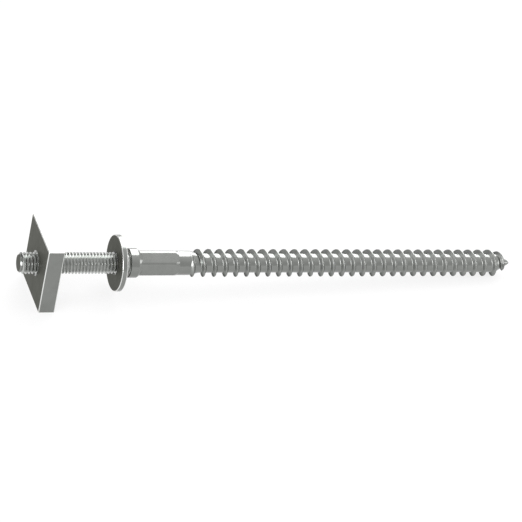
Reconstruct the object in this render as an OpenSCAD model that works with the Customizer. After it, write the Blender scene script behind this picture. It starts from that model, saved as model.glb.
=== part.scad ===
// Double-ended hanger stud with a square plate nut and a flat washer, lying as it comes to rest.
// Every piece is modelled along its own axis from the machine end, then laid down by at_rest().

/* [Machine end] */
// Major diameter of the machine thread
machine_d = 8; // [7:0.5:10]
// Length of the machine thread from its end to the collar
machine_len = 41.1; // [25:0.1:80]
// Diameter of the flat end face inside the lead chamfer
machine_end_d = 6.1; // [4:0.1:7]
// Length of the lead chamfer
machine_chamfer = 0.9; // [0.2:0.1:2]
// Advance of the machine thread for each turn
machine_pitch = 1.25; // [0.8:0.05:1.5]
// First crest's distance from the end, on the side that faces down
machine_start = 0.4; // [0:0.05:1.2]
// Length over which the machine thread runs out before the collar
machine_run_out = 2.2; // [0.5:0.1:4]

/* [Collar] */
// Diameter of the stop collar
collar_d = 11; // [10.5:0.1:18]
// Length of the collar's straight wall and front edge
collar_len = 3.2; // [1.5:0.1:8]
// Chamfer on the collar's front edge
collar_edge = 0.35; // [0.1:0.05:0.6]
// Length of the cone from the collar to the drive flats
collar_back = 1.7; // [0.8:0.1:4]

/* [Drive hexagon] */
// Width across the drive flats
hex_af = 9; // [8:0.1:9.4]
// Length of the drive flats from the collar's cone to the shank
hex_len = 14.2; // [8:0.1:30]
// Length of the taper that runs the hexagon's corners out
hex_run_out = 1.5; // [0.5:0.1:3]

/* [Shank] */
// Diameter of the plain shank
shank_d = 9.1; // [8:0.1:10]
// Length of the plain shank
shank_len = 5; // [2:0.1:40]

/* [Wood thread] */
// Diameter over the thread's crests
wood_d = 10.5; // [9.6:0.1:14]
// Diameter of the core
wood_core_d = 7.35; // [6:0.05:8]
// Length from the shank to the point
wood_len = 134.8; // [60:0.1:140]
// Advance for each turn
wood_pitch = 4.36; // [4:0.01:8]
// Width of the ridge at the core
ridge_base = 1.85; // [1:0.05:2.5]
// Width of the ridge at the crest
ridge_crest = 0.4; // [0.2:0.05:0.8]
// Length of the cone from the shank down to the core
core_blend = 3.6; // [1:0.1:4]
// Part of a turn over which the ridge rises out of the shank
ridge_run_in = 0.3; // [0.1:0.05:1]
// Turn of the ridge's start about the axis, from the side that faces down
ridge_start = -138; // [-180:1:180]
// Length over which the core tapers into the point
core_taper = 6.4; // [3:0.1:12]
// Included angle over the thread at the point
point_angle = 84; // [50:1:100]
// Diameter of the blunt end of the point
point_d = 0.6; // [0.4:0.1:2]

/* [Plate nut] */
// Side of the square plate nut
plate_side = 26; // [23:0.5:40]
// Thickness of the plate nut
plate_t = 6; // [3:0.1:10]
// Chamfer along the plate's edges
plate_edge = 0.2; // [0.1:0.05:1]
// How far the stud stands out past the plate nut
plate_pos = 6.4; // [2:0.1:20]

/* [Flat washer] */
// Outside diameter of the washer
washer_d = 21; // [14:0.5:22]
// Thickness of the washer
washer_t = 2; // [1:0.1:4]
// Chamfer on the washer's rim
washer_edge = 0.15; // [0.05:0.05:0.4]
// Free gap between the washer and the collar
washer_gap = 2.9; // [0.2:0.1:6]

/* [Fits] */
// Radial clearance of the nut's bore round the machine thread
nut_clearance = 0.05; // [0.02:0.01:0.1]
// Radial clearance of the washer's hole round the machine thread
washer_clearance = 0.2; // [0.1:0.05:0.5]
// Chamfer at both mouths of the nut's bore
nut_mouth = 0.6; // [0.2:0.1:1.5]

/* [Hidden] */
$fn = 96;

// Facets of each thread in one turn
machine_facets = 15;
ridge_facets = 28;
// Overlap that lets solids join or cut cleanly
overlap = 1;

machine_r = machine_d / 2;
machine_end_r = machine_end_d / 2;
collar_r = collar_d / 2;
hex_r = hex_af / sqrt(3);
shank_r = shank_d / 2;
wood_r = wood_d / 2;
core_r = wood_core_d / 2;

// Stations along the stud from its machine end
hex_x = machine_len + collar_len + collar_back;
shank_x = hex_x + hex_len;
wood_x = shank_x + shank_len;
stud_len = wood_x + wood_len;
washer_x = machine_len - washer_gap - washer_t;

// Both threads have a tapered ridge: foot, two crest edges and foot
profile_h = [0, 1, 1, 0];

// The metric form is cut from a 60 degree triangle, and runs out to the rolled blank's radius
thread_h = machine_pitch * sqrt(3) / 2;
machine_root_r = machine_r - thread_h * 17 / 24;
blank_r = machine_r - thread_h * 3 / 8;
machine_crest = machine_pitch / 8;
machine_base = machine_crest + 2 * (machine_r - machine_root_r) * tan(30);
machine_x = [-machine_base / 2, -machine_crest / 2, machine_crest / 2, machine_base / 2];

// The machine thread is swept from before the end face into the collar
machine_sweep_x = machine_start - 2 * machine_pitch;
machine_turns = ceil((machine_len - machine_sweep_x) / machine_pitch) + 1;

// The ridge is swept from one bare turn inside the shank to past the point
sweep_x = wood_x - wood_pitch;
sweep_turns = ceil((stud_len + overlap - sweep_x) / wood_pitch);
ridge_x = [-ridge_base / 2, -ridge_crest / 2, ridge_crest / 2, ridge_base / 2];
sunk_r = shank_r - overlap / 10;

// The point is a cone on the stud's axis, blunted at its end
point_slope = tan(point_angle / 2);
point_len = (wood_r + overlap - point_d / 2) / point_slope;
core_end_r = (point_d + overlap / 5) / 2;

// The crest nearest the point that still has its full height and faces down
full_x = stud_len - (wood_r - point_d / 2) / point_slope;
first_low_x = sweep_x - wood_pitch * ridge_start / 360;
last_low_turn = floor((full_x - ridge_crest / 2 - first_low_x) / wood_pitch);
last_low_x = first_low_x + last_low_turn * wood_pitch;

// At rest the stud leans on the plate nut's lower edge and on that crest
plate_low_x = plate_pos + plate_t;
plate_half = plate_side / 2;
foot_x = plate_low_x - plate_edge;
rest_tilt = atan((plate_half - wood_r) / (last_low_x + ridge_crest / 2 - foot_x));
rest_z = foot_x * sin(rest_tilt) + plate_half * cos(rest_tilt);
rest_min_x = -machine_end_r * sin(rest_tilt);
rest_max_x = stud_len * cos(rest_tilt) + point_d / 2 * sin(rest_tilt);

// Lays a piece that was made along +Z down along +X, with its own +X side to the ground
module at_rest() {
    translate([-(rest_min_x + rest_max_x) / 2, 0, rest_z])
        rotate([0, 90 + rest_tilt, 0])
            children();
}

// Two triangles of a four-cornered face
function quad(a, b, c, d) = [[a, b, c], [a, c, d]];

// Core and ridge of a thread as one sweep of its profile along a right-hand helix
module thread_sweep(start_x, start_turn, pitch, turns, facets, profile_x, radius) {
    function at(step, point) = step * count + point;
    count = len(profile_x);
    low = 0;
    high = count - 1;
    last = turns * facets;
    tail = count * (last + 1);
    tip = tail + 1;
    points = [
        for (step = [0 : last], point = [low : high])
            let (turn = start_turn + 360 * step / facets)
            let (x = start_x + pitch * step / facets + profile_x[point])
            let (r = radius(x, profile_h[point], step / facets))
            [r * cos(turn), r * sin(turn), x]
    ];
    ends = [
        [0, 0, start_x - pitch / 2],
        [0, 0, start_x + pitch * turns + pitch / 2]
    ];
    ridge_faces = [
        for (step = [0 : last - 1], point = [low : high - 1])
            each quad(at(step, point), at(step, point + 1), at(step + 1, point + 1), at(step + 1, point))
    ];
    root_faces = [
        for (step = [0 : last - 1 - facets])
            let (next = step + facets)
            each quad(at(step, high), at(next, low), at(next + 1, low), at(step + 1, high))
    ];
    tail_faces = concat(
        [for (step = [0 : facets - 1]) [tail, at(step, low), at(step + 1, low)]],
        [[tail, at(facets, low), at(0, high)]],
        [for (point = [low : high - 1]) [tail, at(0, point + 1), at(0, point)]]
    );
    tip_faces = concat(
        [for (step = [last - facets : last - 1]) [tip, at(step + 1, high), at(step, high)]],
        [[tip, at(last - facets, high), at(last, low)]],
        [for (point = [low : high - 1]) [tip, at(last, point), at(last, point + 1)]]
    );
    polyhedron(concat(points, ends), concat(ridge_faces, root_faces, tail_faces, tip_faces));
}

// Machine thread with its lead chamfer, run out before the collar
module machine_thread() {
    bound_r = machine_r + overlap;
    lead_x = machine_chamfer * (bound_r - machine_end_r) / (machine_r - machine_end_r);
    full = function (x) min(1, max(0, (machine_len - x) / machine_run_out));
    form = function (h) machine_root_r + h * (machine_r - machine_root_r);
    radius = function (x, h, turns) blank_r + full(x) * (form(h) - blank_r);
    intersection() {
        thread_sweep(machine_sweep_x, 0, machine_pitch, machine_turns, machine_facets, machine_x, radius);
        rotate_extrude()
            polygon([
                [0, 0],
                [machine_end_r, 0],
                [bound_r, lead_x],
                [bound_r, hex_x],
                [0, hex_x]
            ]);
    }
}

// Stop collar and the cone behind it
module collar() {
    cone_end_r = hex_af / 2 - overlap / 10;
    rotate_extrude()
        polygon([
            [0, machine_len],
            [collar_r - collar_edge, machine_len],
            [collar_r, machine_len + collar_edge],
            [collar_r, machine_len + collar_len],
            [cone_end_r, hex_x],
            [0, hex_x]
        ]);
}

// Drive hexagon, with its corners run out to the shank
module drive_hex() {
    start_x = machine_len + collar_len;
    intersection() {
        translate([0, 0, start_x])
            cylinder(h = shank_x - start_x, r = hex_r, $fn = 6);
        rotate_extrude()
            polygon([
                [0, start_x - overlap],
                [hex_r + overlap, start_x - overlap],
                [hex_r + overlap, shank_x - hex_run_out],
                [hex_r, shank_x - hex_run_out],
                [shank_r, shank_x],
                [0, shank_x]
            ]);
    }
}

// Plain shank and the cone that blends it into the core
module shank() {
    rotate_extrude()
        polygon([
            [0, shank_x - overlap],
            [hex_af / 2 - overlap / 10, shank_x - overlap],
            [hex_af / 2 - overlap / 10, shank_x],
            [shank_r, shank_x],
            [shank_r, wood_x],
            [core_r - overlap / 10, wood_x + core_blend],
            [0, wood_x + core_blend]
        ]);
}

// Wood thread: its ridge rises out of the shank, and its core tapers to the conical point
module wood_thread() {
    bound_r = wood_r + overlap;
    rise = function (turns) min(1, max(0, (turns - 1) / ridge_run_in + 1 / 2));
    crest = function (turns) sunk_r + rise(turns) * (wood_r - sunk_r);
    taper = function (x) core_end_r + (core_r - core_end_r) * (stud_len - x) / core_taper;
    core = function (x) max(point_d / 4, min(core_r, taper(x)));
    radius = function (x, h, turns) core(x) + h * (crest(turns) - core_r);
    intersection() {
        thread_sweep(sweep_x, ridge_start, wood_pitch, sweep_turns, ridge_facets, ridge_x, radius);
        rotate_extrude()
            polygon([
                [0, sweep_x - wood_pitch],
                [bound_r, sweep_x - wood_pitch],
                [bound_r, stud_len - point_len],
                [point_d / 2, stud_len],
                [0, stud_len]
            ]);
    }
}

module hanger_stud() {
    color("silver")
        at_rest()
            union() {
                machine_thread();
                collar();
                drive_hex();
                shank();
                wood_thread();
            }
}

// Square plate with broken edges and a bore that opens at both mouths
module plate_nut() {
    bore_r = machine_r + nut_clearance;
    color("gray")
        at_rest()
            translate([0, 0, plate_pos])
                difference() {
                    intersection() {
                        translate([-plate_half, -plate_half, 0])
                            cube([plate_side, plate_side, plate_t]);
                        edge_bevels();
                    }
                    translate([0, 0, -overlap])
                        cylinder(h = plate_t + 2 * overlap, r = bore_r);
                    bore_mouth(bore_r);
                    translate([0, 0, plate_t])
                        mirror([0, 0, 1])
                            bore_mouth(bore_r);
                }
}

// Two crossed prisms that take the plate's face edges off
module edge_bevels() {
    outline = [
        [-plate_half, plate_edge],
        [-plate_half + plate_edge, 0],
        [plate_half - plate_edge, 0],
        [plate_half, plate_edge],
        [plate_half, plate_t - plate_edge],
        [plate_half - plate_edge, plate_t],
        [-plate_half + plate_edge, plate_t],
        [-plate_half, plate_t - plate_edge]
    ];
    intersection_for(turn = [0, 90])
        rotate([0, 0, turn])
            rotate([90, 0, 0])
                linear_extrude(height = plate_side + 2 * overlap, center = true)
                    polygon(outline);
}

// Cone that opens a bore at its lower mouth
module bore_mouth(bore_r) {
    rotate_extrude()
        polygon([
            [0, -overlap],
            [bore_r + nut_mouth + overlap, -overlap],
            [bore_r - overlap, nut_mouth + overlap],
            [0, nut_mouth + overlap]
        ]);
}

// Flat washer with a broken rim
module flat_washer() {
    hole_r = machine_r + washer_clearance;
    washer_r = washer_d / 2;
    color("lightgray")
        at_rest()
            translate([0, 0, washer_x])
                rotate_extrude()
                    polygon([
                        [hole_r, 0],
                        [washer_r - washer_edge, 0],
                        [washer_r, washer_edge],
                        [washer_r, washer_t - washer_edge],
                        [washer_r - washer_edge, washer_t],
                        [hole_r, washer_t]
                    ]);
}

hanger_stud();
plate_nut();
flat_washer();
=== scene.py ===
"""Dresses the hanger stud, its plate nut and its washer, and lights them on a pale floor."""

import math

import bmesh
import bpy
from mathutils import Matrix, Vector


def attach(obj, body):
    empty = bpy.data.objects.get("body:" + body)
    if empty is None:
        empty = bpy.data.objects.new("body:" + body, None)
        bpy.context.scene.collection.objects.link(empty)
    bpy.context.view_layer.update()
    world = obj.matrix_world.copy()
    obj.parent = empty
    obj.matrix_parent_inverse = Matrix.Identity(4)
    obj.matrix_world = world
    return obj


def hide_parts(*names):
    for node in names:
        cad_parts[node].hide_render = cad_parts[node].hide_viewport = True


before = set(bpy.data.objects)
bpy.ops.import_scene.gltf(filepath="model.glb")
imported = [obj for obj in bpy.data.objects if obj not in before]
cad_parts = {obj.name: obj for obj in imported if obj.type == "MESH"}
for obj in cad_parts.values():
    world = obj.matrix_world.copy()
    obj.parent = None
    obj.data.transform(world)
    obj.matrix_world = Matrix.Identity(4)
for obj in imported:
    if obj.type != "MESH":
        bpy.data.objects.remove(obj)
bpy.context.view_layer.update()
scene = bpy.context.scene
scene.view_settings.view_transform = "Standard"

MM = 0.001
TAU = 2 * math.pi

# Sizes of the solids, in millimetres along the stud from its machine end
MACHINE_R = 4.0
MACHINE_LEN = 41.1
MACHINE_END_R = 3.05
MACHINE_CHAMFER = 0.9
MACHINE_PITCH = 1.25
MACHINE_START = 0.4
MACHINE_RUN_OUT = 2.2
THREAD_DEPTH = 0.767
BLANK_R = 3.594
COLLAR_R = 5.5
COLLAR_LEN = 3.2
COLLAR_EDGE = 0.35
COLLAR_BACK = 1.7
HEX_AF = 9.0
HEX_LEN = 14.2
HEX_RUN_OUT = 1.5
SHANK_R = 4.55
SHANK_LEN = 5.0
WOOD_R = 5.25
CORE_R = 3.675
WOOD_LEN = 134.8
WOOD_PITCH = 4.36
RIDGE_CREST = 0.4
CORE_BLEND = 3.6
RIDGE_RUN_IN = 0.3
RIDGE_START = math.radians(-138)
CORE_TAPER = 6.4
POINT_ANGLE = math.radians(84)
POINT_R = 0.3
PLATE_SIDE = 26.0
PLATE_T = 6.0
PLATE_EDGE = 0.2
PLATE_POS = 6.4
WASHER_R = 10.5
WASHER_T = 2.0
WASHER_GAP = 2.9
NUT_CLEARANCE = 0.05
WASHER_CLEARANCE = 0.2
NUT_MOUTH = 0.6

# Forms that only the dressed part has
THREAD_PLAY = 0.07
NUT_THREAD_SHARE = 0.88
HEX_ROUND_R = 5.0
RIDGE_FILLET = 0.08
PLATE_CORNER = 0.3
PLATE_ROUND = 0.3
WASHER_ROUND = 0.26
WASHER_MOUTH = 0.12

# Room that the wood ridge has to rise in, before the shank's end
RIDGE_ROOM = 2.2

# How far a form passes the surface that it comes out of or runs into
SUNK = 0.1
SUNK_R = SHANK_R - SUNK
CONE_END_R = HEX_AF / 2 - SUNK
CORE_END_R = POINT_R + SUNK

# Fineness of the meshes: degrees, or steps in a quarter round and along the plate's side
HEX_STEP = 5
WASHER_STEP = 3
ROUND_STEPS = 4
SIDE_STEPS = 18

# Points nearer than this are one, and places are looked up to this many decimals
SAME = 0.0005
DECIMALS = 3

# Faces that meet at more than this stay sharp
SHARP = math.radians(30)

HEX_X = MACHINE_LEN + COLLAR_LEN + COLLAR_BACK
SHANK_X = HEX_X + HEX_LEN
WOOD_X = SHANK_X + SHANK_LEN
STUD_LEN = WOOD_X + WOOD_LEN
WASHER_X = MACHINE_LEN - WASHER_GAP - WASHER_T
RIDGE_X = WOOD_X - RIDGE_ROOM

# Where the stud comes to rest, on the plate's lower edge and one crest
POINT_SLOPE = math.tan(POINT_ANGLE / 2)
FULL_X = STUD_LEN - (WOOD_R - POINT_R) / POINT_SLOPE
SWEEP_X = WOOD_X - WOOD_PITCH
FIRST_LOW_X = SWEEP_X - WOOD_PITCH * RIDGE_START / TAU
LAST_LOW_X = FIRST_LOW_X + WOOD_PITCH * math.floor(
    (FULL_X - RIDGE_CREST / 2 - FIRST_LOW_X) / WOOD_PITCH
)
FOOT_X = PLATE_POS + PLATE_T - PLATE_EDGE
TILT = math.atan((PLATE_SIDE / 2 - WOOD_R) / (LAST_LOW_X + RIDGE_CREST / 2 - FOOT_X))
REST_Z = FOOT_X * math.sin(TILT) + PLATE_SIDE / 2 * math.cos(TILT)
REST_MIN_X = -MACHINE_END_R * math.sin(TILT)
REST_MAX_X = STUD_LEN * math.cos(TILT) + POINT_R * math.sin(TILT)
AT_REST = (
    Matrix.Scale(MM, 4)
    @ Matrix.Translation((-(REST_MIN_X + REST_MAX_X) / 2, 0, REST_Z))
    @ Matrix.Rotation(math.pi / 2 + TILT, 4, "Y")
)
FROM_REST = AT_REST.inverted()
FROM_REST_TURN = FROM_REST.to_3x3()
AXIS = (AT_REST.to_3x3() @ Vector((0, 0, 1))).normalized()


def between(value, low, high):
    """Share of the way from low to high, held to 0 and 1."""
    return min(1.0, max(0.0, (value - low) / (high - low)))


def smooth(share):
    """Eases a share in and out."""
    return share * share * (3 - 2 * share)


def soft_max(a, b, width):
    """The larger of two radii, with a fillet of about that width where they meet."""
    share = between(a - b, -width, width)
    return b + (a - b) * share + width * share * (1 - share)


def rounding(size):
    """Depth below the face and inset from the side, at each step of a rounded edge."""
    turns = [math.pi / 2 * step / ROUND_STEPS for step in range(ROUND_STEPS + 1)]
    return [(size * (1 - math.cos(turn)), size * (1 - math.sin(turn))) for turn in turns]


class Skin:
    """Points and faces of one piece, gathered in the stud's own frame in millimetres."""

    def __init__(self, angles):
        self.angles = angles
        self.points = []
        self.faces = []
        self.crisp = []

    def row(self, stations, radii):
        """One point for each angle; returns their numbers."""
        first = len(self.points)
        for angle, x, r in zip(self.angles, stations, radii):
            self.points.append((r * math.cos(angle), r * math.sin(angle), x))
        return list(range(first, len(self.points)))

    def ring(self, x, r):
        """A flat round row."""
        count = len(self.angles)
        return self.row([x] * count, [r] * count)

    def strip(self, low, high):
        """Faces between two closed rows, facing out where high is further along."""
        count = len(self.angles)
        for j in range(count):
            k = (j + 1) % count
            self.faces.append((low[j], low[k], high[k], high[j]))

    def loft(self, rows):
        """Faces between each row and the next."""
        for low, high in zip(rows, rows[1:]):
            self.strip(low, high)

    def cap(self, row, x, at_end):
        """Closes a row with a fan about the axis."""
        centre = len(self.points)
        self.points.append((0, 0, x))
        count = len(self.angles)
        for j in range(count):
            k = (j + 1) % count
            self.faces.append((row[j], row[k], centre) if at_end else (row[k], row[j], centre))

    def helix(self, origin, pitch, offsets, start, end, radius, inside=False):
        """A skin that follows a right-hand helix between two stations, each with its radius."""
        spare_turns = 3
        count = len(self.angles)
        per_turn = len(offsets)
        first = math.floor((start[0] - origin) / pitch) - spare_turns
        last = math.ceil((end[0] - origin) / pitch) + spare_turns
        rows = []
        for turn in range(first, last + 1):
            for offset in offsets:
                stations, radii = [], []
                for angle in self.angles:
                    travel = turn + angle / TAU
                    x = origin + pitch * travel + offset
                    if x <= start[0]:
                        x, r = start
                    elif x >= end[0]:
                        x, r = end
                    else:
                        r = radius(x, offset, travel)
                    stations.append(x)
                    radii.append(r)
                rows.append(self.row(stations, radii))
        for q in range(len(rows) - per_turn - 1):
            for j in range(count):
                seam = j == count - 1
                k = 0 if seam else j + 1
                shift = per_turn if seam else 0
                face = (rows[q][j], rows[q + shift][k], rows[q + shift + 1][k], rows[q + 1][j])
                self.faces.append(face[::-1] if inside else face)

    def edge(self, row):
        """Keeps a row as a sharp edge."""
        self.crisp.append({self.key(self.points[i]) for i in row})
        return row

    @staticmethod
    def key(point):
        """A place rounded, so that it can be looked up."""
        return tuple(round(c, DECIMALS) for c in point)

    def build(self, name, body, node):
        """Makes the piece, merges what coincides and lays it at rest in place of its node."""
        mesh = bpy.data.meshes.new(name)
        mesh.from_pydata(self.points, [], self.faces)
        work = bmesh.new()
        work.from_mesh(mesh)
        bmesh.ops.remove_doubles(work, verts=work.verts, dist=SAME)
        bmesh.ops.dissolve_degenerate(work, edges=work.edges, dist=SAME)
        loose = [v for v in work.verts if not v.link_faces]
        bmesh.ops.delete(work, geom=loose, context="VERTS")
        for face in work.faces:
            face.smooth = True
        for edge in work.edges:
            ends = [self.key(v.co) for v in edge.verts]
            kept = any(ends[0] in row and ends[1] in row for row in self.crisp)
            edge.smooth = not kept and edge.calc_face_angle(0) < SHARP
        bmesh.ops.transform(work, matrix=AT_REST, verts=work.verts)
        work.to_mesh(mesh)
        work.free()
        piece = bpy.data.objects.new(name, mesh)
        scene.collection.objects.link(piece)
        flats = piece.modifiers.new("flats_stay_flat", "WEIGHTED_NORMAL")
        flats.keep_sharp = True
        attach(piece, body)
        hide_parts(node)
        return piece


# Machine thread: a 60 degree form with a flat crest and a rounded root, as shares of pitch and depth
THREAD_FORM = [
    (-0.5, 1.0),
    (-0.45, 0.978),
    (-0.415, 0.925),
    (-0.38, 0.84),
    (-0.075, 0.015),
    (-0.05, 0.0),
    (0.05, 0.0),
    (0.075, 0.015),
    (0.38, 0.84),
    (0.415, 0.925),
    (0.45, 0.978),
]
THREAD_DEPTHS = {MACHINE_PITCH * place: depth * THREAD_DEPTH for place, depth in THREAD_FORM}
THREAD_OFFSETS = list(THREAD_DEPTHS)


def machine_radius(x, offset, travel):
    """Radius of the machine thread, under its lead chamfer and run out to the rolled blank."""
    thread = MACHINE_R - THREAD_DEPTHS[offset]
    lead = MACHINE_END_R + (MACHINE_R - MACHINE_END_R) * x / MACHINE_CHAMFER
    fade = smooth(between(MACHINE_LEN - x, 0, MACHINE_RUN_OUT))
    return min(BLANK_R + (thread - BLANK_R) * fade, lead)


def hex_radius(angle):
    """Radius of the drive hexagon, its corners turned down to a round."""
    return min(HEX_ROUND_R, HEX_AF / 2 / math.cos(math.pi / 6 - angle % (math.pi / 3)))


# Wood thread: a tapered ridge with a softened crest and foot, as places along it and shares of height
RIDGE_FORM = [
    (-2.18, 0.0),
    (-1.45, 0.0),
    (-1.13, 0.008),
    (-1.0, 0.035),
    (-0.9, 0.09),
    (-0.82, 0.17),
    (-0.285, 0.90),
    (-0.24, 0.952),
    (-0.185, 0.985),
    (-0.11, 1.0),
    (0.11, 1.0),
    (0.185, 0.985),
    (0.24, 0.952),
    (0.285, 0.90),
    (0.82, 0.17),
    (0.9, 0.09),
    (1.0, 0.035),
    (1.13, 0.008),
    (1.45, 0.0),
]
RIDGE_SHARES = dict(RIDGE_FORM)
RIDGE_OFFSETS = list(RIDGE_SHARES)


def wood_radius(x, offset, travel):
    """Radius of the ridge as it rises out of the shank, winds over the core and ends on the point."""
    turns = travel - RIDGE_START / TAU
    rise = between(turns, 1 - RIDGE_RUN_IN / 2, 1 + RIDGE_RUN_IN / 2)
    crest = SUNK_R + rise * (WOOD_R - SUNK_R)
    core = min(CORE_R, CORE_END_R + (CORE_R - CORE_END_R) * (STUD_LEN - x) / CORE_TAPER)
    ridge = core + RIDGE_SHARES[offset] * (crest - CORE_R)
    cone = SHANK_R + (CORE_R - SHANK_R) * max(0, x - WOOD_X) / CORE_BLEND
    return min(soft_max(ridge, cone, RIDGE_FILLET), POINT_R + (STUD_LEN - x) * POINT_SLOPE)


def hanger_stud():
    """One skin from the machine end to the point."""
    strip = math.pi / 6 - math.acos(HEX_AF / 2 / HEX_ROUND_R)
    steps = [math.radians(HEX_STEP * step) for step in range(2, 11)]
    angles = []
    for k in range(6):
        corner = math.radians(60 * k)
        angles += [corner, corner + strip]
        angles += [corner + step for step in steps]
        angles.append(corner + math.pi / 3 - strip)
    skin = Skin(angles)

    # Machine end, from its flat to the collar
    flat = skin.ring(0, MACHINE_END_R)
    skin.cap(flat, 0, at_end=False)
    start, end = (0, MACHINE_END_R), (MACHINE_LEN, BLANK_R)
    skin.helix(MACHINE_START, MACHINE_PITCH, THREAD_OFFSETS, start, end, machine_radius)

    # Collar, and the cone that meets the drive flats in scallops
    rows = [skin.ring(MACHINE_LEN, BLANK_R)]
    for depth, inset in rounding(COLLAR_EDGE):
        rows.append(skin.ring(MACHINE_LEN + depth, COLLAR_R - inset))
    wall_end = MACHINE_LEN + COLLAR_LEN
    rows.append(skin.edge(skin.ring(wall_end, COLLAR_R)))
    hexagon = [hex_radius(angle) for angle in angles]
    meets = [wall_end + COLLAR_BACK * (COLLAR_R - r) / (COLLAR_R - CONE_END_R) for r in hexagon]
    rows.append(skin.edge(skin.row(meets, hexagon)))

    # Drive hexagon, its corners run out to the shank
    leaves = [SHANK_X - HEX_RUN_OUT * between(r, SHANK_R, HEX_ROUND_R) for r in hexagon]
    rows.append(skin.edge(skin.row(leaves, hexagon)))
    rows.append(skin.edge(skin.ring(SHANK_X, SHANK_R)))
    rows.append(skin.ring(RIDGE_X, SHANK_R))
    skin.loft(rows)

    # Wood thread to its point
    start, end = (RIDGE_X, SHANK_R), (STUD_LEN, POINT_R)
    skin.helix(FIRST_LOW_X, WOOD_PITCH, RIDGE_OFFSETS, start, end, wood_radius)
    tip = skin.ring(STUD_LEN, POINT_R)
    skin.cap(tip, STUD_LEN, at_end=True)
    return skin.build("stud_threaded", "stud", "hanger_stud")


def nut_radius(x, offset, travel):
    """Radius of the tapped hole, opened at both mouths."""
    depth = min(THREAD_DEPTHS[offset], NUT_THREAD_SHARE * THREAD_DEPTH)
    from_face = min(x - PLATE_POS, PLATE_POS + PLATE_T - x)
    return max(MACHINE_R + THREAD_PLAY - depth, MACHINE_R + NUT_CLEARANCE + NUT_MOUTH - from_face)


def plate_outline(inset):
    """Points of the plate's rounded square, drawn in by inset."""
    half = PLATE_SIDE / 2
    inner = half - PLATE_CORNER
    out = half - inset
    r = PLATE_CORNER - inset
    made = []
    for k in range(4):
        base = math.radians(90 * k + 45)
        centre = (inner * math.sqrt(2) * math.cos(base), inner * math.sqrt(2) * math.sin(base))
        for step in range(ROUND_STEPS + 1):
            turn = math.radians(90 * k + 90 / ROUND_STEPS * step)
            made.append((centre[0] + r * math.cos(turn), centre[1] + r * math.sin(turn)))
        side = math.radians(90 * k + 90)
        for step in range(1, SIDE_STEPS):
            along = inner * (1 - 2 * step / SIDE_STEPS)
            made.append(
                (
                    out * math.cos(side) + along * math.sin(side),
                    out * math.sin(side) - along * math.cos(side),
                )
            )
    return made


def plate_nut():
    """Square plate with rounded edges and a tapped hole."""
    angles = [math.atan2(y, x) % TAU for x, y in plate_outline(0)]
    start = angles.index(min(angles))
    order = list(range(start, len(angles))) + list(range(start))
    skin = Skin([angles[i] for i in order])

    def square(x, inset):
        """A row round the plate's side."""
        first = len(skin.points)
        made = plate_outline(inset)
        skin.points.extend((made[i][0], made[i][1], x) for i in order)
        return list(range(first, len(skin.points)))

    mouth_r = MACHINE_R + NUT_CLEARANCE + NUT_MOUTH
    near, far = PLATE_POS, PLATE_POS + PLATE_T
    edge = rounding(PLATE_ROUND)
    rows = [skin.ring(near, mouth_r)]
    rows += [square(near + depth, inset) for depth, inset in edge]
    rows += [square(far - depth, inset) for depth, inset in reversed(edge)]
    rows.append(skin.ring(far, mouth_r))
    skin.loft(rows)
    start, end = (near, mouth_r), (far, mouth_r)
    skin.helix(MACHINE_START, MACHINE_PITCH, THREAD_OFFSETS, start, end, nut_radius, inside=True)
    return skin.build("plate_nut_square", "nut", "plate_nut")


def flat_washer():
    """Flat ring with a rounded rim and a broken hole."""
    skin = Skin([math.radians(WASHER_STEP * k) for k in range(360 // WASHER_STEP)])
    hole = MACHINE_R + WASHER_CLEARANCE
    near, far = WASHER_X, WASHER_X + WASHER_T
    edge = rounding(WASHER_ROUND)
    rows = [skin.ring(near + WASHER_MOUTH, hole), skin.ring(near, hole + WASHER_MOUTH)]
    rows += [skin.ring(near + depth, WASHER_R - inset) for depth, inset in edge]
    rows += [skin.ring(far - depth, WASHER_R - inset) for depth, inset in reversed(edge)]
    rows += [skin.ring(far, hole + WASHER_MOUTH), skin.ring(far - WASHER_MOUTH, hole), rows[0]]
    skin.loft(rows)
    return skin.build("washer_flat", "washer", "flat_washer")


# Steel's surface: how fine its clouds and marks are, and the values between which noise mostly lies
CLOUD_SCALE = 260
CLOUD_DETAIL = 4
GRAIN_SCALE = 1000
GRAIN_DETAIL = 3
NOISE_LOW = 0.3
NOISE_HIGH = 0.7
BUMP_STRENGTH = 0.06
BUMP_DEPTH = 0.00002

# How the marks are stretched: round the stud, up the plate, along the washer's rim, or hardly at all
TURNED = (1, 0.05, 0.05)
DRAWN = (1, 1, 0.06)
PUNCHED = (0.06, 1, 1)
ROLLED = (1, 1, 0.2)
UNSTRETCHED = (1, 1, 1)


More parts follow.
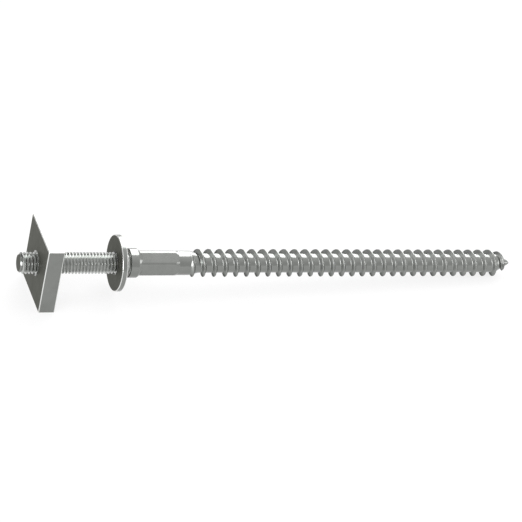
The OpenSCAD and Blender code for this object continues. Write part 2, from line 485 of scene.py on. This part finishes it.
def steel(name, dark, light, rough, spread, marks, rim=1.0):
    """Steel with a cloudy tone, fine marks along one direction and a faint uneven surface."""
    material = bpy.data.materials.new(name)
    material.use_nodes = True
    nodes, links = material.node_tree.nodes, material.node_tree.links
    shader = nodes["Principled BSDF"]
    shader.inputs["Metallic"].default_value = 1.0
    shader.inputs["Specular Tint"].default_value = (rim, rim, rim, 1)

    place = nodes.new("ShaderNodeTexCoord")
    turn = nodes.new("ShaderNodeMapping")
    turn.inputs["Rotation"].default_value = (0, -TILT, 0)
    links.new(place.outputs["Object"], turn.inputs["Vector"])

    cloud = nodes.new("ShaderNodeTexNoise")
    cloud.inputs["Scale"].default_value = CLOUD_SCALE
    cloud.inputs["Detail"].default_value = CLOUD_DETAIL
    links.new(turn.outputs["Vector"], cloud.inputs["Vector"])
    tone = nodes.new("ShaderNodeValToRGB")
    tone.color_ramp.elements[0].position = NOISE_LOW
    tone.color_ramp.elements[0].color = (*dark, 1)
    tone.color_ramp.elements[1].position = NOISE_HIGH
    tone.color_ramp.elements[1].color = (*light, 1)
    links.new(cloud.outputs["Fac"], tone.inputs["Fac"])
    links.new(tone.outputs["Color"], shader.inputs["Base Color"])

    stretch = nodes.new("ShaderNodeMapping")
    stretch.inputs["Scale"].default_value = marks
    links.new(turn.outputs["Vector"], stretch.inputs["Vector"])
    grain = nodes.new("ShaderNodeTexNoise")
    grain.inputs["Scale"].default_value = GRAIN_SCALE
    grain.inputs["Detail"].default_value = GRAIN_DETAIL
    links.new(stretch.outputs["Vector"], grain.inputs["Vector"])
    gloss = nodes.new("ShaderNodeMapRange")
    gloss.inputs["From Min"].default_value = NOISE_LOW
    gloss.inputs["From Max"].default_value = NOISE_HIGH
    gloss.inputs["To Min"].default_value = rough - spread
    gloss.inputs["To Max"].default_value = rough + spread
    links.new(grain.outputs["Fac"], gloss.inputs["Value"])
    links.new(gloss.outputs["Result"], shader.inputs["Roughness"])

    bump = nodes.new("ShaderNodeBump")
    bump.inputs["Strength"].default_value = BUMP_STRENGTH
    bump.inputs["Distance"].default_value = BUMP_DEPTH
    links.new(grain.outputs["Fac"], bump.inputs["Height"])
    links.new(bump.outputs["Normal"], shader.inputs["Normal"])
    return material


STUD_STEEL = steel(
    "stud_steel", (0.232, 0.240, 0.231), (0.254, 0.262, 0.253), rough=0.16, spread=0.03, marks=TURNED
)
# Painted light: the machine thread and the tapped hole are lighter than the stud, to lift the shade
# inside the thread's valleys
PAINTED_LIGHT_THREAD_STEEL = steel(
    "painted_light_thread_steel", (0.405, 0.416, 0.405), (0.455, 0.467, 0.455), rough=0.2, spread=0.03, marks=TURNED
)
# Painted light: the wood ridge's flanks are lighter than the stud, to lift the shade between the ridges;
# their dark grazing rim is painted shade that darkens the crests seen edge-on; their roughness is the
# ridge's own
PAINTED_LIGHT_RIDGE_STEEL = steel(
    "painted_light_ridge_steel", (0.33, 0.34, 0.33), (0.37, 0.38, 0.37), rough=0.4, spread=0.04, marks=TURNED, rim=0.0
)
PLATE_STEEL = steel(
    "plate_steel", (0.212, 0.220, 0.211), (0.234, 0.242, 0.233), rough=0.18, spread=0.03, marks=DRAWN
)
# Painted shade: the flat faces of the plate and washer and the stud's flat end are dark, standing in for
# a dark reflection
PAINTED_SHADE_STEEL = steel(
    "painted_shade_steel",
    (0.113, 0.114, 0.102),
    (0.130, 0.131, 0.118),
    rough=0.58,
    spread=0.04,
    marks=ROLLED,
    rim=0.66,
)
# Painted highlight: the rounded edges, the plate's corners and the collar's bearing face are bright,
# standing in for glints of light
PAINTED_HIGHLIGHT_STEEL = steel(
    "painted_highlight_steel", (0.70, 0.71, 0.69), (0.78, 0.79, 0.77), rough=0.22, spread=0.03, marks=UNSTRETCHED
)
WASHER_STEEL = steel(
    "washer_steel", (0.232, 0.240, 0.231), (0.254, 0.262, 0.253), rough=0.18, spread=0.03, marks=PUNCHED
)

# Limits that tell faces apart: nearness in millimetres, lean of the normal along the axis, and radius
NEAR = 0.01
FLAT_LEAN = 0.999
FLANK_LEAN = 0.5
EDGE_LEAN = 0.1
BORE_LIMIT_R = 4.8


def stud_finish(place, normal):
    """The machine thread is painted lighter to lift the shade in its valleys, the wood ridge's flanks
    are rougher, painted lighter and painted dark at their grazing rim, the flat end is painted dark as
    painted shade, and the collar's bearing face is painted bright as a painted highlight."""
    # Painted shade on the stud's flat end
    if place.z < NEAR:
        return PAINTED_SHADE_STEEL
    if MACHINE_CHAMFER < place.z < MACHINE_LEN - NEAR:
        return PAINTED_LIGHT_THREAD_STEEL
    # Painted highlight on the collar's bearing face, lifting the shade cast from the washer
    if abs(place.z - MACHINE_LEN) < NEAR:
        return PAINTED_HIGHLIGHT_STEEL
    # Painted light on the wood ridge's flanks, with painted shade at their grazing rim
    if place.z > RIDGE_X and abs(normal.z) > FLANK_LEAN:
        return PAINTED_LIGHT_RIDGE_STEEL
    return STUD_STEEL


def flat_finish(place, normal, side, bore):
    """Flat faces are painted dark as painted shade, and edges and the plate's corners are painted bright
    as a painted highlight.
    """
    if abs(normal.z) > FLAT_LEAN:
        return PAINTED_SHADE_STEEL
    if math.hypot(place.x, place.y) < BORE_LIMIT_R:
        return bore
    at_corner = min(abs(place.x), abs(place.y)) > PLATE_SIDE / 2 - PLATE_CORNER
    return PAINTED_HIGHLIGHT_STEEL if at_corner or abs(normal.z) > EDGE_LEAN else side


# The tapped hole gets the lighter thread steel, painted light that lifts the shade in its valleys
def plate_finish(place, normal):
    return flat_finish(place, normal, PLATE_STEEL, PAINTED_LIGHT_THREAD_STEEL)


def washer_finish(place, normal):
    return flat_finish(place, normal, WASHER_STEEL, WASHER_STEEL)


def dress(piece, finish, *materials):
    """Gives a piece its materials, and each face the one that finish picks for its place and normal."""
    for material in materials:
        piece.data.materials.append(material)
    for face in piece.data.polygons:
        place = FROM_REST @ face.center
        normal = (FROM_REST_TURN @ face.normal).normalized()
        face.material_index = materials.index(finish(place, normal))


# The floor reaches far enough, in metres, that a low view still ends on it, and lies just below the part
FLOOR_HALF = 40.0
FLOOR_DROP = 0.00002


def pale_ground(name, low, high, glow):
    """Pale paper: what looks at it, straight or by a mirror, sees most of it as white."""
    material = bpy.data.materials.new(name)
    material.use_nodes = True
    nodes, links = material.node_tree.nodes, material.node_tree.links
    shader = nodes["Principled BSDF"]
    shader.inputs["Roughness"].default_value = 0.8
    shader.inputs["Specular IOR Level"].default_value = 0.1
    noise = nodes.new("ShaderNodeTexNoise")
    noise.inputs["Scale"].default_value = 200
    tone = nodes.new("ShaderNodeValToRGB")
    tone.color_ramp.elements[0].color = (low, low, low, 1)
    tone.color_ramp.elements[1].color = (high, high, high, 1)
    links.new(noise.outputs["Fac"], tone.inputs["Fac"])
    links.new(tone.outputs["Color"], shader.inputs["Base Color"])

    path = nodes.new("ShaderNodeLightPath")
    seen = nodes.new("ShaderNodeMath")
    seen.operation = "MAXIMUM"
    links.new(path.outputs["Is Camera Ray"], seen.inputs[0])
    links.new(path.outputs["Is Glossy Ray"], seen.inputs[1])
    seen_through = nodes.new("ShaderNodeMath")
    seen_through.operation = "MAXIMUM"
    links.new(seen.outputs["Value"], seen_through.inputs[0])
    links.new(path.outputs["Is Transmission Ray"], seen_through.inputs[1])
    share = nodes.new("ShaderNodeMath")
    share.operation = "MULTIPLY"
    share.inputs[1].default_value = glow
    links.new(seen_through.outputs["Value"], share.inputs[0])
    white = nodes.new("ShaderNodeEmission")
    white.inputs["Color"].default_value = (1, 1, 1, 1)
    white.inputs["Strength"].default_value = 1.0
    blend = nodes.new("ShaderNodeMixShader")
    links.new(share.outputs["Value"], blend.inputs["Fac"])
    links.new(shader.outputs["BSDF"], blend.inputs[1])
    links.new(white.outputs["Emission"], blend.inputs[2])
    links.new(blend.outputs["Shader"], nodes["Material Output"].inputs["Surface"])
    return material


def ground():
    """A plain pale floor."""
    half = FLOOR_HALF
    corners = [(-half, -half, 0), (half, -half, 0), (half, half, 0), (-half, half, 0)]
    mesh = bpy.data.meshes.new("floor")
    mesh.from_pydata(corners, [], [(0, 1, 2, 3)])
    floor = bpy.data.objects.new("floor", mesh)
    floor.location.z = -FLOOR_DROP
    scene.collection.objects.link(floor)
    mesh.materials.append(pale_ground("floor_pale", low=0.8, high=0.82, glow=0.8))


def softbox(name, place, width, height, radiance):
    """A rectangular lamp that faces the stud, with the brightness it shows in a mirror."""
    lamp = bpy.data.lights.new(name, "AREA")
    lamp.shape = "RECTANGLE"
    lamp.size = width
    lamp.size_y = height
    lamp.energy = radiance * math.pi * width * height
    holder = bpy.data.objects.new(name, lamp)
    holder.location = place
    holder.rotation_mode = "QUATERNION"
    holder.rotation_quaternion = Vector(place).to_track_quat("Z", "Y")
    scene.collection.objects.link(holder)


def toward(nodes, links, place, direction, first, last):
    """A grey that changes as the world is looked at more along a direction; first and last are a
    share of the way there and the grey at it."""
    along = nodes.new("ShaderNodeVectorMath")
    along.operation = "DOT_PRODUCT"
    along.inputs[1].default_value = Vector(direction).normalized()
    links.new(place.outputs["Generated"], along.inputs[0])
    tone = nodes.new("ShaderNodeValToRGB")
    for element, (share, grey) in zip(tone.color_ramp.elements, (first, last)):
        element.position = share
        element.color = (grey, grey, grey, 1)
    links.new(along.outputs["Value"], tone.inputs["Fac"])
    return tone.outputs["Color"]


def studio():
    """A grey room, paler overhead and darker behind to the left, with three soft lamps."""
    world = bpy.data.worlds.new("studio")
    scene.world = world
    world.use_nodes = True
    nodes, links = world.node_tree.nodes, world.node_tree.links
    sky = nodes["Background"]
    sky.inputs["Strength"].default_value = 1.0
    place = nodes.new("ShaderNodeTexCoord")
    overhead = toward(nodes, links, place, (0.3, 0.45, 0.84), (0.2, 0.84), (0.95, 1.2))
    corner = toward(nodes, links, place, (-0.5, 0.85, 0.12), (0.78, 1.0), (0.9, 0.35))
    both = nodes.new("ShaderNodeMix")
    both.data_type = "RGBA"
    both.blend_type = "MULTIPLY"
    both.inputs["Factor"].default_value = 1.0
    links.new(overhead, both.inputs["A"])
    links.new(corner, both.inputs["B"])
    links.new(both.outputs["Result"], sky.inputs["Color"])
    softbox("softbox_back", (0.68, 1.09, 1.11), width=1.0, height=2.2, radiance=3.6)
    softbox("softbox_left", (-1.3, -0.95, 0.42), width=1.2, height=0.8, radiance=7.5)
    softbox("softbox_right", (1.56, -0.4, 0.3), width=1.1, height=0.7, radiance=1.9)


# Camera: its line of sight, the point of the stud that it looks at and how far above it, in
# millimetres, its distance in metres, and its lens
CAMERA_AZIMUTH = math.radians(-24.4)
CAMERA_ELEVATION = math.radians(32.0)
TARGET_X = 94.2
TARGET_RISE = 0.717
CAMERA_DISTANCE = 0.7514
SENSOR_WIDTH = 36.0
FOCAL_LENGTH = 137.2
CLIP_NEAR = 0.01
CLIP_FAR = 100.0


def camera():
    """Looks along the photograph's line of sight, turned so that the stud lies level."""
    back = Vector(
        (
            math.sin(CAMERA_AZIMUTH) * math.cos(CAMERA_ELEVATION),
            -math.cos(CAMERA_AZIMUTH) * math.cos(CAMERA_ELEVATION),
            math.sin(CAMERA_ELEVATION),
        )
    )
    right = (AXIS - AXIS.dot(back) * back).normalized()
    up = back.cross(right)
    target = AT_REST @ Vector((0, 0, TARGET_X)) + up * TARGET_RISE * MM
    lens = bpy.data.cameras.new("camera")
    lens.sensor_width = SENSOR_WIDTH
    lens.lens = FOCAL_LENGTH
    lens.clip_start = CLIP_NEAR
    lens.clip_end = CLIP_FAR
    holder = bpy.data.objects.new("camera", lens)
    turned = Matrix((right, up, back)).transposed().to_4x4()
    holder.matrix_world = Matrix.Translation(target + back * CAMERA_DISTANCE) @ turned
    scene.collection.objects.link(holder)
    scene.camera = holder


dress(hanger_stud(), stud_finish, STUD_STEEL, PAINTED_LIGHT_THREAD_STEEL, PAINTED_SHADE_STEEL, PAINTED_LIGHT_RIDGE_STEEL, PAINTED_HIGHLIGHT_STEEL)
dress(plate_nut(), plate_finish, PLATE_STEEL, PAINTED_SHADE_STEEL, PAINTED_HIGHLIGHT_STEEL, PAINTED_LIGHT_THREAD_STEEL)
dress(flat_washer(), washer_finish, WASHER_STEEL, PAINTED_SHADE_STEEL, PAINTED_HIGHLIGHT_STEEL)
ground()
studio()
camera()

bpy.context.view_layer.update()
